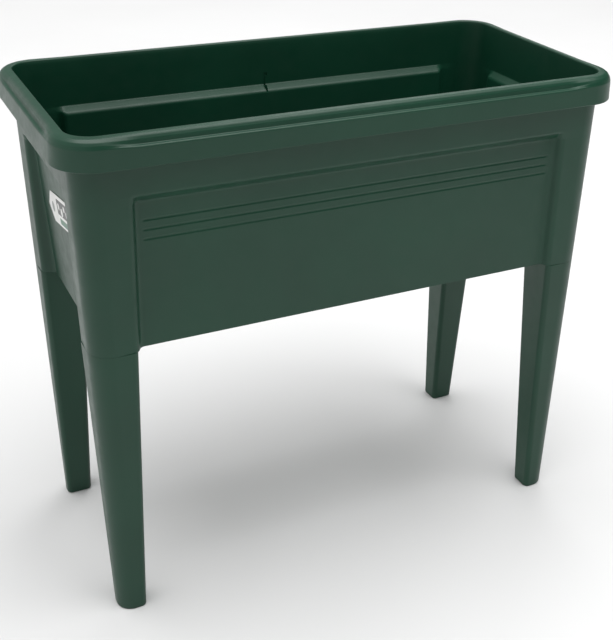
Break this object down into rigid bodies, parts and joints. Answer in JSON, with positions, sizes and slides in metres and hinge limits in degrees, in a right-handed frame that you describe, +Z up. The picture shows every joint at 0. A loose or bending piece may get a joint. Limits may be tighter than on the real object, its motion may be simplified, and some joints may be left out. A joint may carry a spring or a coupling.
{
  "type": "self watering planter",
  "caption": "Raised rectangular self-watering planter: rimmed moulded trough on tapered plug-in legs, with false floor, wick cups, filling tube, float gauge and drain plug.",
  "frame": {"origin": "on the ground under the middle of the trough, at the centre of the four feet", "axes": "+X along the length to the right when seen from the front, +Y to the back, +Z up"},
  "size_m": [0.751, 0.362, 0.652],
  "materials": {
    "green_plastic": "dark leaf-green moulded polypropylene, satin, very fine grain",
    "grey_plastic": "dark grey moulded polypropylene, matte",
    "clear_plastic": "clear moulded polycarbonate window",
    "float_foam": "white closed-cell foam",
    "red_plastic": "signal red moulded plastic",
    "seal_rubber": "black soft rubber, matte",
    "label": "white printed film label, smooth"
  },
  "bodies": {
    "planter": {"trough": "green_plastic", "leg_front_right": "green_plastic", "leg_back_right": "green_plastic", "leg_back_left": "green_plastic", "leg_front_left": "green_plastic", "care_label": "label"},
    "separator_left": {"separator_left": "grey_plastic", "wick_cup_left_1": "grey_plastic", "wick_cup_left_2": "grey_plastic"},
    "separator_right": {"separator_right": "grey_plastic", "wick_cup_right_1": "grey_plastic", "wick_cup_right_2": "grey_plastic", "fill_tube": "grey_plastic", "gauge_tube": "grey_plastic", "gauge_window": "clear_plastic"},
    "fill_lid": {"fill_lid": "green_plastic"},
    "level_float": {"gauge_float": "float_foam", "gauge_rod": "red_plastic"},
    "drain_plug": {"drain_plug": "grey_plastic", "drain_seal": "seal_rubber"}
  },
  "joints": [
    {"name": "separator_left_lift", "type": "slide", "parent": "planter", "child": "separator_left", "axis": [0, 0, 1], "range_m": [0, 0.22]},
    {"name": "separator_right_lift", "type": "slide", "parent": "planter", "child": "separator_right", "axis": [0, 0, 1], "range_m": [0, 0.22]},
    {"name": "fill_lid_hinge", "type": "hinge", "parent": "separator_right", "child": "fill_lid", "pos_m": [0.258, -0.08, 0.6024], "axis": [-1, 0, 0], "range_deg": [0, 105]},
    {"name": "level_float_rise", "type": "slide", "parent": "separator_right", "child": "level_float", "axis": [0, 0, 1], "range_m": [0, 0.045]},
    {"name": "drain_plug_pull", "type": "slide", "parent": "planter", "child": "drain_plug", "axis": [0, 0, -1], "range_m": [0, 0.03]}
  ]
}
